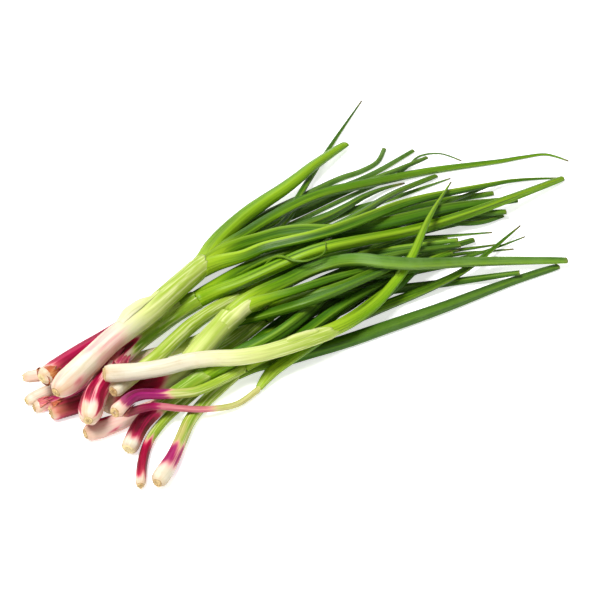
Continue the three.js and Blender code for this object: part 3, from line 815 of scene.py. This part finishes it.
def blush_at(look, along, turn, seed):
    """How magenta a place on a shank is; along is in millimetres."""
    ragged = look.ragged * noise_round(2 * math.pi * turn, 1.4, seed)
    total = 0.0
    for starts, ends, strength in look.blush:
        rise = ease((along + ragged - starts + 4) / 12)
        fall = 1 - ease((along + 1.5 * ragged - ends + 5) / (10 + 0.1 * abs(ends)))
        total = max(total, strength * rise * fall)
    for middle, middle_turn, long, wide, strength in look.spots:
        spot = bump_at(along + ragged, middle, long) * bump_at(turn_gap(turn, middle_turn), 0.0, wide)
        total = max(total, strength * spot)
    return total


def shank_values(onion, along, turn, lip=0.0):
    """What a place on a shank says to its finish."""
    look = SHANK_LOOKS[onion]
    seed = seed_of(onion)
    starts, ends, most = look.green
    lean = 5 * noise_round(2 * math.pi * turn, 1, seed + 9.0)
    stain = max(0.0, 0.5 + lean / 2.5)
    return {
        "blush": blush_at(look, along / MM, turn, seed),
        "stripes": look.stripes,
        "violet": look.violet,
        "green": most * ease((along / MM + lean - starts) / (ends - starts)),
        "pale": look.pale,
        "worn": 0.6 * bump_at(along / MM, -1.5, 2.0) + 0.3 * bump_at(along / MM, 3.0, 7.0) * stain,
        "lip": lip,
    }


def past_fork(onion, beyond):
    """The middle of the leaves of an onion, a little way past the fork."""
    leaves = BUNCH[onion]["leaves"]
    return sum((leaf.at(beyond)[0] for leaf in leaves), Vector()) / len(leaves)


def grow_shank(onion, settings):
    """A shank from its root end to the slanting edge of its outer sheath, with the sheath's inside."""
    line = BUNCH[onion]["shank"]
    look = SHANK_LOOKS[onion]
    seed = seed_of(onion)
    draw = random.Random(300 + seed)
    skin = new_skin(SHANK_VALUES)
    rows = max(12, round(line.length / settings.step))
    sides = settings.sides
    closing, sheath_rows, inner_rows = 6, 7, 4
    reach = look.sheath * MM
    shoulder = (12 if look.root < 1 else 2.5) * MM
    lean_turn = draw.random()
    slant = reach * draw.uniform(0.6, 0.85)
    total = closing + rows + sheath_rows + inner_rows + 1

    def place(row, column):
        turn = column / sides
        angle = 2 * math.pi * turn
        edge = reach + slant * math.cos(2 * math.pi * (turn - lean_turn))
        ragged = noise_round(angle, 2.5, seed * 1.7) + 0.6 * noise_round(angle, 6, seed * 2.3)
        edge += 0.32 * reach * ragged
        edge -= 0.5 * reach * bump_at(turn_gap(turn, lean_turn + 0.5), 0.0, 0.07)
        thinner, shrink, back, lip = 0.0, 1.0, 0.0, 0.0
        if row < closing:
            share = row / closing
            along = 0.0
            shrink = 0.0 if row == 0 else 0.80 + 0.20 * share
            back = (1 - share) * 0.4 * MM
        elif row < closing + rows:
            along = line.length * (row - closing) / (rows - 1)
        elif row < closing + rows + sheath_rows:
            share = (row - closing - rows + 1) / sheath_rows
            along = line.length + edge * share
            lip = ease((share - 0.35) / 0.65)
            thinner = settings.sheath * 0.5 * (1 if share == 1 else 0)
        else:
            share = (row - closing - rows - sheath_rows) / inner_rows
            along = line.length + edge * (1 - 0.7 * share)
            thinner = settings.sheath * 1.6
            lip = 1 - share
            if row == total - 1:
                shrink = 0.0
        point, side, top, way, wide, tall = line.at(along)
        swell = look.root + (1 - look.root) * math.sin(min(along / shoulder, 1.0) * math.pi / 2)
        if along > line.length:
            point = past_fork(onion, along - line.length)
            swell *= 1 + 0.01 * lip
        wide *= swell
        tall *= swell
        point = point - way * back
        rib = 1 + 0.010 * math.sin(5 * angle + seed) + 0.008 * math.sin(9 * angle + 3 * seed + along * 60)
        rib += 0.012 * math.sin(3 * angle + seed * 2.0 + along * 18)
        rib *= 1 + 0.03 * noise_at(along * 60, seed * 3.0, 0)
        radial = outwards(side, top, wide - thinner, tall - thinner, angle)
        values = shank_values(onion, along, turn, lip)
        return point + radial * (shrink * rib), grain_at(turn, along, seed), values

    roll(skin, total, sides, place)
    node = onion + "_shank"
    finish_piece(onion + "_shank_skin", skin, finish("shank"), [node])


def grow_root_plate(onion):
    """The trimmed root plate: a low disc with broken rings and the stubs of cut roots."""
    look = SHANK_LOOKS[onion]
    seed = seed_of(onion)
    draw = random.Random(100 + seed)
    point, side, top, way, wide, _ = BUNCH[onion]["shank"].at(0.0)
    wide *= look.root
    skin = new_skin(["heart", "rim", "fresh"])
    # (distance from the middle as a share of the radius, height) from the middle to behind the rim.
    profile = [
        (0.0, 0.30), (0.16, 0.28), (0.3, 0.38), (0.42, 0.34), (0.6, 0.42), (0.78, 0.40), (0.9, 0.24),
        (0.98, 0.0), (0.9, -0.5),
    ]
    if onion in HOLLOW_ROOTS:
        hollow = 1.0
        profile[:3] = (0.0, -0.35), (0.2, -0.15), (0.34, 0.42)
    else:
        hollow = draw.choice((0.35, 0.5, 0.2))
    sides, stubs = 28, 22

    def place(row, column):
        turn = column / sides
        out, high = profile[row]
        angle = 2 * math.pi * turn
        rough = 1 + 0.05 * noise_round(angle, 2, seed + row * 0.7)
        lift = high + 0.10 * noise_round(angle, out * 4, seed + 5.0)
        spread = wide * 0.93 * out * rough
        at = point + outwards(side, top, spread, spread, angle) - way * (lift * 1.9 * MM)
        heart = bump_at(out, 0.0, 0.34) * hollow
        values = {"heart": heart, "rim": bump_at(out, 0.95, 0.16), "fresh": look.cut}
        return at, grain_at(turn, out * 0.01, seed), values

    roll(skin, len(profile), sides, place)
    heart, fresh = (skin.verts.layers.float[name] for name in ("heart", "fresh"))
    for _ in range(stubs):
        angle = draw.uniform(0, 2 * math.pi)
        out = math.sqrt(draw.uniform(0.05, 0.7))
        aside = outwards(side, top, 1, 1, angle)
        base = point + aside * (wide * 0.8 * out) - way * (0.5 * MM)
        bend = Vector([draw.uniform(-0.2, 0.2) for _ in range(3)])
        lean = (aside * (0.5 * out) - way + bend).normalized()
        long = draw.uniform(0.4, 0.9) * MM
        girth = draw.uniform(0.28, 0.42) * MM
        spin = lean.to_track_quat("Z", "Y").to_matrix().to_4x4()
        made = bmesh.ops.create_cone(
            skin, cap_ends=True, segments=6, radius1=girth, radius2=girth * 0.7, depth=long,
            matrix=Matrix.Translation(base + lean * long * 0.5) @ spin,
        )["verts"]
        for corner in made:
            corner.co.z = max(corner.co.z, 0.0)
            corner[heart] = draw.uniform(0, 0.25)
            corner[fresh] = look.cut * draw.uniform(0.5, 1.0)
    finish_piece(onion + "_root_plate", skin, finish("root"))


def leaf_shape(line, number, seed, ribbing):
    """What a leaf's own outline and end are like."""
    draw = random.Random(seed * 10 + number)
    half = line.sections[len(line.sections) // 2][1]
    end = line.sections[-1][1]
    return {
        "pointed": end < 0.33 * half,
        "open": draw.random() < 0.4,
        "rib": ribbing * draw.uniform(0.6, 1.3),
        "phase": draw.uniform(0, 6.28),
        "groove": draw.uniform(0.06, 0.2),
        "groove_gap": draw.choice((-0.15, 0.15)),
        "crease": draw.uniform(0.05, 0.13),
        "crease_at": draw.uniform(0.02, 0.3),
        "drift": draw.uniform(-0.5, 0.5),
        "wither": draw.uniform(0.006, 0.016),
    }


def grow_leaf(skin, onion, number, line, look, settings):
    """One hollow leaf from inside the neck to its tip."""
    seed = seed_of(onion)
    shape = leaf_shape(line, number, seed, settings.ribbing)
    sides = settings.sides
    rows = max(20, round(line.length / settings.step))
    cut_open = shape["open"] and not shape["pointed"]
    end_rows = len(OPEN_END) if cut_open else 6
    fresh, bloom, ridge_highlight = look
    last_wide = line.sections[-1][1]
    pinch_reach, worn_reach = 9 * MM, 4 * MM
    base_green = shank_values(onion, BUNCH[onion]["shank"].length, 0.25)["green"]

    def place(row, column):
        turn = column / sides
        angle = 2 * math.pi * turn
        inside = 0.0
        along = line.length
        step = row - rows + 1
        if step <= 0:
            along *= row / (rows - 1)
            shrink, beyond = (1.0 if row else 0.0), 0.0
        elif cut_open:
            shrink, back = OPEN_END[step - 1]
            beyond = back * last_wide
            # Rows that go down the hollow are marked for painted shade.
            inside = ease((step - 2) / 3)
        else:
            u = step / end_rows
            shrink = math.sqrt(max(0.0, 1 - u * u))
            beyond = 0.5 * last_wide * u
        point, side, top, way, wide, tall = line.at(along)
        to_end = line.length - along
        if not shape["pointed"]:
            pinch = ease(1 - to_end / pinch_reach) * (0.25 if shape["open"] else 0.5)
            wide *= 1 + 0.16 * pinch
            tall *= 1 - 0.8 * pinch
        crease_turn = shape["crease_at"] + shape["drift"] * along
        from_crease = turn_gap(turn, crease_turn)
        crease = bump_at(from_crease, 0.0, 0.04) - 0.6 * bump_at(from_crease, 0.11, 0.05)
        phase = shape["phase"]
        rib = 0.6 * math.sin(3 * angle + phase) + 0.4 * math.sin(5 * angle + 2 * phase + along * 25)
        rib = 1 + shape["rib"] * rib
        in_groove = bump_at(turn_gap(turn, crease_turn + shape["groove_gap"]), 0.0, 0.07)
        rib += (shape["crease"] * crease - shape["groove"] * in_groove) * ease(along / 0.04)
        swell = 1 + 0.035 * noise_at(along * 35, seed * 2.0 + number, 3.0)
        radial = outwards(side, top, wide, tall, angle)
        at = point + way * beyond + radial * (shrink * rib * swell)
        if shape["pointed"]:
            wither = ease(1 - to_end / shape["wither"])
        else:
            wither = 0.35 * ease(1 - to_end / worn_reach)
        values = {
            "fresh": fresh,
            "bloom": bloom * ease((along - 0.03) / 0.09),
            # A painted highlight along the crease, fading in from the fork.
            "ridge_highlight": ridge_highlight * bump_at(from_crease, 0.0, 0.09) * ease(along / 0.02),
            "grown": ease(along / (0.040 + 0.05 * fresh)),
            "green": base_green + (1.25 - base_green) * ease(along / 0.05),
            "wither": wither,
            "inside": inside,
        }
        return at, grain_at(turn, along, seed + number * 0.37), values

    roll(skin, rows + end_rows, sides, place)


def grow_leaves(onion, settings):
    """All the leaves of one onion."""
    skin = new_skin(LEAF_VALUES)
    looks = LEAF_LOOKS[onion]
    for number, line in enumerate(BUNCH[onion]["leaves"]):
        look = looks[min(number, len(looks) - 1)]
        grow_leaf(skin, onion, number, line, look, settings)
    node = onion + "_leaves"
    finish_piece(onion + "_leaf_skins", skin, finish("leaf"), [node])


def resting_heights(places, girth):
    """How high a springy shoot lies at each place when it rests on what is already grown there."""
    above_all, rounds, sag = 0.2, 600, 0.00001
    scene = bpy.context.scene
    grown = bpy.context.evaluated_depsgraph_get()
    under = []
    for x, y in places:
        tops = [0.0]
        for aside_x, aside_y in ((0, 0), (girth, 0), (-girth, 0), (0, girth), (0, -girth)):
            struck, at, *_ = scene.ray_cast(grown, Vector((x + aside_x, y + aside_y, above_all)), -UP)
            if struck:
                tops.append(at.z)
        under.append(max(tops) + girth)
    lying = list(under)
    for _ in range(rounds):
        for i in range(1, len(lying) - 1):
            lying[i] = max(under[i], (lying[i - 1] + lying[i + 1]) / 2 - sag)
    return lying


def grow_shoot():
    """A thin shoot that comes up between the leaves and lies curled on top of them."""
    girth = 1.05 * MM
    flat = Line([(Vector((x, y, 0)), girth, girth) for x, y in SHOOT_PATH])
    count, near_end = 44, 5
    tucked, raised = 4 * MM, 0.8 * MM
    spots = [flat.at(flat.length * i / (count - 1))[0] for i in range(count)]
    heights = resting_heights([(spot.x, spot.y) for spot in spots], girth)
    for i in range(near_end):
        heights[i] -= tucked * (1 - i / near_end) ** 2
        heights[-1 - i] += raised * (1 - i / near_end) ** 2
    line = Line([(Vector((spot.x, spot.y, height)), girth, girth) for spot, height in zip(spots, heights)])
    skin = new_skin(LEAF_VALUES)
    rows, sides = 70, 14

    def place(row, column):
        turn = column / sides
        angle = 2 * math.pi * turn
        share = row / (rows - 1)
        along = line.length * share
        point, side, top, _, wide, tall = line.at(along)
        thin = math.sqrt(max(0.0, 1 - share**1.6)) * (0.75 + 0.25 * ease(share * 8)) if row else 0.0
        thin *= 1 + 0.08 * math.sin(3 * angle + along * 90)
        values = {
            "fresh": 0.45,
            "bloom": 0.15,
            # A painted highlight along the upper side of the shoot.
            "ridge_highlight": 0.5 * bump_at(turn_gap(turn, 0.2), 0.0, 0.12),
            "grown": 1.0,
            "green": 1.25,
            "wither": 0.5 * ease((share - 0.9) / 0.1),
            "inside": 0.0,
        }
        radial = outwards(side, top, wide, tall, angle)
        return point + radial * thin, grain_at(turn, along, 21.0), values

    roll(skin, rows, sides, place)
    finish_piece("curled_shoot", skin, finish("leaf"))


def grow_scrap(number, scrap):
    """A torn piece of old skin that clings to a shank, its edges ragged and lifting."""
    onion, starts, long, middle_turn, width, dryness = scrap
    line = BUNCH[onion]["shank"]
    seed = 40 + number * 3
    skin = new_skin(["dry", "lip"])
    columns, rows = 18, 16

    def place(row, column):
        u = column / columns
        v = row / (rows - 1)
        ragged = 0.5 + 0.9 * abs(noise_at(u * 5, seed, 0))
        ragged += 0.5 * noise_at(u * 17, seed, 4)
        along = (starts + long * (0.12 * noise_at(u * 6, seed, 8) + v * ragged)) * MM
        turn = middle_turn + (u - 0.5) * width * (1 - 0.35 * v)
        point, side, top, _, wide, tall = line.at(along)
        edge = max(abs(u - 0.5) * 2, v)
        curl = ease((edge - 0.6) / 0.4) * (0.5 + noise_at(u * 4, v * 4, seed))
        lift = (0.25 + 0.9 * curl) * MM
        radial = outwards(side, top, wide + lift, tall + lift, 2 * math.pi * turn)
        values = {"dry": dryness, "lip": ease((edge - 0.75) / 0.25)}
        return point + radial, grain_at(turn, along, seed), values

    roll(skin, rows, columns, place)
    name = f"{onion}_old_skin_{number:02d}"
    finish_piece(name, skin, finish("scrap"), thickness=SCRAP_THICKNESS)


def grow_loose_sheath(number, sheath):
    """A pale outer sheath that has come away from its shank along one side."""
    onion, starts, long, middle_turn, width, stand = sheath
    line = BUNCH[onion]["shank"]
    seed = 70 + number * 5
    skin = new_skin(SHANK_VALUES)
    columns, rows = 20, 22

    def place(row, column):
        u = column / columns
        v = row / (rows - 1)
        torn = 0.10 * noise_at(u * 4, seed, 1.0)
        torn += 0.05 * noise_at(u * 11, seed, 2.0)
        along = (starts + long * (v + torn * v)) * MM
        turn = middle_turn + (u - 0.5) * width * (1 - 0.3 * v)
        point, side, top, _, wide, tall = line.at(along)
        if along > line.length:
            point = past_fork(onion, along - line.length)
        bulge = math.sin(math.pi * min(1.0, v * 1.15)) * math.sin(math.pi * u)
        bulge *= 0.85 + 0.4 * noise_at(u * 3, v * 3, seed)
        lift = 0.12 * MM * ease(v * 3) + stand * MM * max(0.0, bulge)
        radial = outwards(side, top, wide + lift, tall + lift, 2 * math.pi * turn)
        values = shank_values(onion, along, turn, 0.3 * ease((v - 0.8) / 0.2))
        values["green"] *= 1 - 0.45 * ease(v * 1.6) * (0.4 + 0.6 * math.sin(math.pi * u))
        values["blush"] *= 1 - ease(v * 3)
        return point + radial, grain_at(turn, along, seed), values

    roll(skin, rows, columns, place)
    name = onion + "_loose_sheath"
    finish_piece(name, skin, finish("shank"), thickness=LOOSE_SHEATH_THICKNESS)


# Operators


class GrowShanks(bpy.types.Operator):
    """Grow every shank with its blush and streaks"""

    bl_idname = "spring_onions.shanks"
    bl_label = "Grow Shanks"

    def execute(self, context):
        for onion in ONION_NAMES:
            grow_shank(onion, context.scene.onion_shanks)
        return {"FINISHED"}


class GrowRootPlates(bpy.types.Operator):
    """Grow the trimmed root plate at the end of every shank"""

    bl_idname = "spring_onions.root_plates"
    bl_label = "Grow Root Plates"

    def execute(self, context):
        for onion in ONION_NAMES:
            grow_root_plate(onion)
        return {"FINISHED"}


class GrowLeaves(bpy.types.Operator):
    """Grow every onion's hollow leaves"""

    bl_idname = "spring_onions.leaves"
    bl_label = "Grow Leaves"

    def execute(self, context):
        for onion in ONION_NAMES:
            if not BUNCH[onion]["leaves"]:
                raise RuntimeError("no leaf was found on " + onion)
            grow_leaves(onion, context.scene.onion_leaves)
        return {"FINISHED"}


class LayShoot(bpy.types.Operator):
    """Lay the thin curled shoot on the grown leaves"""

    bl_idname = "spring_onions.shoot"
    bl_label = "Lay Curled Shoot"

    def execute(self, context):
        grow_shoot()
        return {"FINISHED"}


class AddOldSkins(bpy.types.Operator):
    """Add the torn old skins and loose pale sheaths that cling to some shanks"""

    bl_idname = "spring_onions.old_skins"
    bl_label = "Add Old Skins"

    def execute(self, context):
        for number, scrap in enumerate(SKIN_SCRAPS):
            grow_scrap(number, scrap)
        for number, sheath in enumerate(LOOSE_SHEATHS):
            grow_loose_sheath(number, sheath)
        return {"FINISHED"}


def floor_finish(stage):
    """A plain pale surface that glows a little, so that its shadows stay soft."""
    skin = Finish("floor", 0.9, **{"Base Color": (*stage.floor, 1), "Emission Color": (1, 1, 1, 1)})
    glow = skin.node("ShaderNodeMapRange")
    glow.inputs["To Min"].default_value, glow.inputs["To Max"].default_value = FLOOR_GLOW
    skin.feed(skin.node("ShaderNodeLightPath").outputs["Is Camera Ray"], glow.inputs["Value"])
    skin.feed(glow.outputs[0], skin.shader.inputs["Emission Strength"])
    return skin.material


def add_light(name, place, aim, size, power):
    light = bpy.data.lights.new(name, "AREA")
    light.shape = "DISK"
    light.size = size
    light.energy = power
    holder = bpy.data.objects.new(name, light)
    holder.location = place
    holder.rotation_euler = (aim - place).to_track_quat("-Z", "Y").to_euler()
    bpy.context.scene.collection.objects.link(holder)


class SetStage(bpy.types.Operator):
    """Lay the pale floor and set the studio light and the camera"""

    bl_idname = "spring_onions.stage"
    bl_label = "Set Stage"

    def execute(self, context):
        stage = context.scene.onion_stage
        sheet = bmesh.new()
        bmesh.ops.create_grid(sheet, x_segments=2, y_segments=2, size=FLOOR_HALF_WIDTH)
        bmesh.ops.translate(sheet, verts=sheet.verts, vec=(0, 0, -FLOOR_DROP))
        mesh = bpy.data.meshes.new("floor")
        sheet.to_mesh(mesh)
        sheet.free()
        mesh.materials.append(floor_finish(stage))
        floor = bpy.data.objects.new("floor", mesh)
        context.scene.collection.objects.link(floor)
        aim = Vector(stage.aim)
        away = Vector((
            math.sin(stage.azimuth) * math.cos(stage.elevation),
            -math.cos(stage.azimuth) * math.cos(stage.elevation),
            math.sin(stage.elevation),
        ))
        lens = bpy.data.cameras.new("camera")
        lens.lens = LENS
        lens.sensor_width = SENSOR
        camera = bpy.data.objects.new("camera", lens)
        camera.location = aim + away * stage.distance
        camera.rotation_euler = away.to_track_quat("Z", "Y").to_euler()
        context.scene.collection.objects.link(camera)
        context.scene.camera = camera
        for name, offset, size, power in LIGHTS:
            add_light(name, aim + Vector(offset), aim, size, power)
        world = bpy.data.worlds.new("studio")
        world.use_nodes = True
        background = world.node_tree.nodes["Background"]
        background.inputs["Color"].default_value = (1, 1, 1, 1)
        background.inputs["Strength"].default_value = WORLD_LIGHT
        context.scene.world = world
        context.scene.view_settings.view_transform = "Standard"
        return {"FINISHED"}


class SpringOnionPanel(bpy.types.Panel):
    """Lists the sizes, colours and steps of the bunch"""

    bl_idname = "VIEW3D_PT_spring_onions"
    bl_label = "Spring Onion Bunch"
    bl_space_type = "VIEW_3D"
    bl_region_type = "UI"
    bl_category = "Spring Onions"

    def draw(self, context):
        layout = self.layout
        for settings in (context.scene.onion_shanks, context.scene.onion_leaves, context.scene.onion_stage):
            box = layout.box()
            for name in settings.__annotations__:
                box.prop(settings, name)
        for operator in OPERATORS:
            layout.operator(operator.bl_idname)


OPERATORS = (GrowShanks, GrowRootPlates, GrowLeaves, LayShoot, AddOldSkins, SetStage)
CLASSES = (ShankSettings, LeafSettings, StageSettings, *OPERATORS, SpringOnionPanel)


def register():
    for item in CLASSES:
        bpy.utils.register_class(item)
    bpy.types.Scene.onion_shanks = PointerProperty(type=ShankSettings)
    bpy.types.Scene.onion_leaves = PointerProperty(type=LeafSettings)
    bpy.types.Scene.onion_stage = PointerProperty(type=StageSettings)


def unregister():
    del bpy.types.Scene.onion_shanks
    del bpy.types.Scene.onion_leaves
    del bpy.types.Scene.onion_stage
    for item in reversed(CLASSES):
        bpy.utils.unregister_class(item)


def main():
    register()
    bpy.ops.spring_onions.shanks()
    bpy.ops.spring_onions.root_plates()
    bpy.ops.spring_onions.leaves()
    bpy.ops.spring_onions.shoot()
    bpy.ops.spring_onions.old_skins()
    bpy.ops.spring_onions.stage()


if __name__ == "__main__":
    main()
